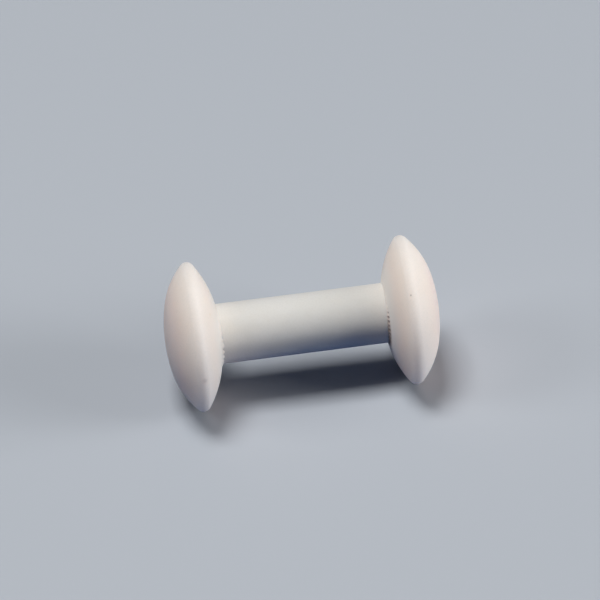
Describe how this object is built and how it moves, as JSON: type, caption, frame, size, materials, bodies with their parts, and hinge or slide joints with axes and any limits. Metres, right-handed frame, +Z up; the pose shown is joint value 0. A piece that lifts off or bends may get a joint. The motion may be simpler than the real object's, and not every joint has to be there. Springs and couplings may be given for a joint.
{
  "type": "magnetic stir bar",
  "caption": "Dumb-bell magnetic stir bar: crowned white discs on the ends of a sleeved rod magnet, turned by a stirrer's field to mix a liquid.",
  "frame": {"origin": "on the surface that both rims touch, straight under the middle of the bar", "axes": "+X along the bar from the left disc to the right disc, +Z up, +Y away from the viewer"},
  "size_m": [0.037, 0.0202, 0.0202],
  "materials": {
    "disc_plastic": "waxy fluoropolymer, warm white, faintly polished by turning",
    "sleeve_plastic": "waxy fluoropolymer tube, cooler and slightly grey white",
    "magnet_alloy": "ground cast magnet alloy, dull grey, sealed from view"
  },
  "bodies": {
    "root": {"left_disc": "disc_plastic", "right_disc": "disc_plastic", "sleeve": "sleeve_plastic", "magnet": "magnet_alloy"}
  },
  "joints": []
}
